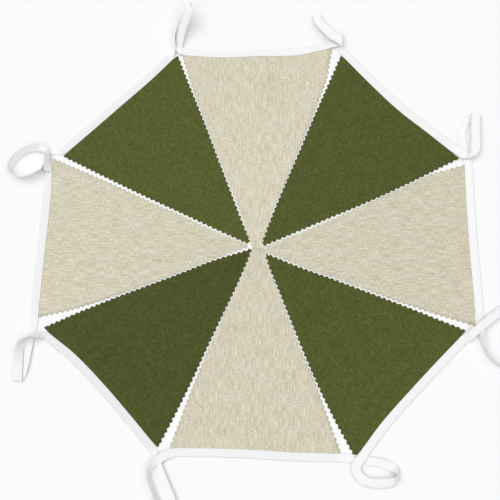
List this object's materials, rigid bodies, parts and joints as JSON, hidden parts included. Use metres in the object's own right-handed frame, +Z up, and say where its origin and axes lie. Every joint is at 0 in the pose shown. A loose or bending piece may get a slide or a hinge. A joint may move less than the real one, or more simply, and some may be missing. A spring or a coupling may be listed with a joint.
{
  "type": "fabric bunting",
  "caption": "Triangular pennants in alternating linen and olive cotton with pinked sides, sewn into a white folded tape and laid flat in a ring, tips together, with the slack tape in loops.",
  "frame": {"origin": "on the surface the bunting lies on, under the middle of its outline", "axes": "+Z up from the surface, +Y towards the top pennant, +X towards the right pennant"},
  "size_m": [0.5052, 0.5069, 0.0218],
  "materials": {
    "natural_linen": "matt plain weave with slubs",
    "olive_cotton": "matt plain weave",
    "white_tape": "matt folded cotton tape"
  },
  "bodies": {
    "root": {"flag_1_linen": "natural_linen", "flag_2_green": "olive_cotton", "flag_3_linen": "natural_linen", "flag_4_green": "olive_cotton", "flag_5_linen": "natural_linen", "flag_6_green": "olive_cotton", "flag_7_linen": "natural_linen", "flag_8_green": "olive_cotton", "binding_tape": "white_tape"}
  },
  "joints": []
}
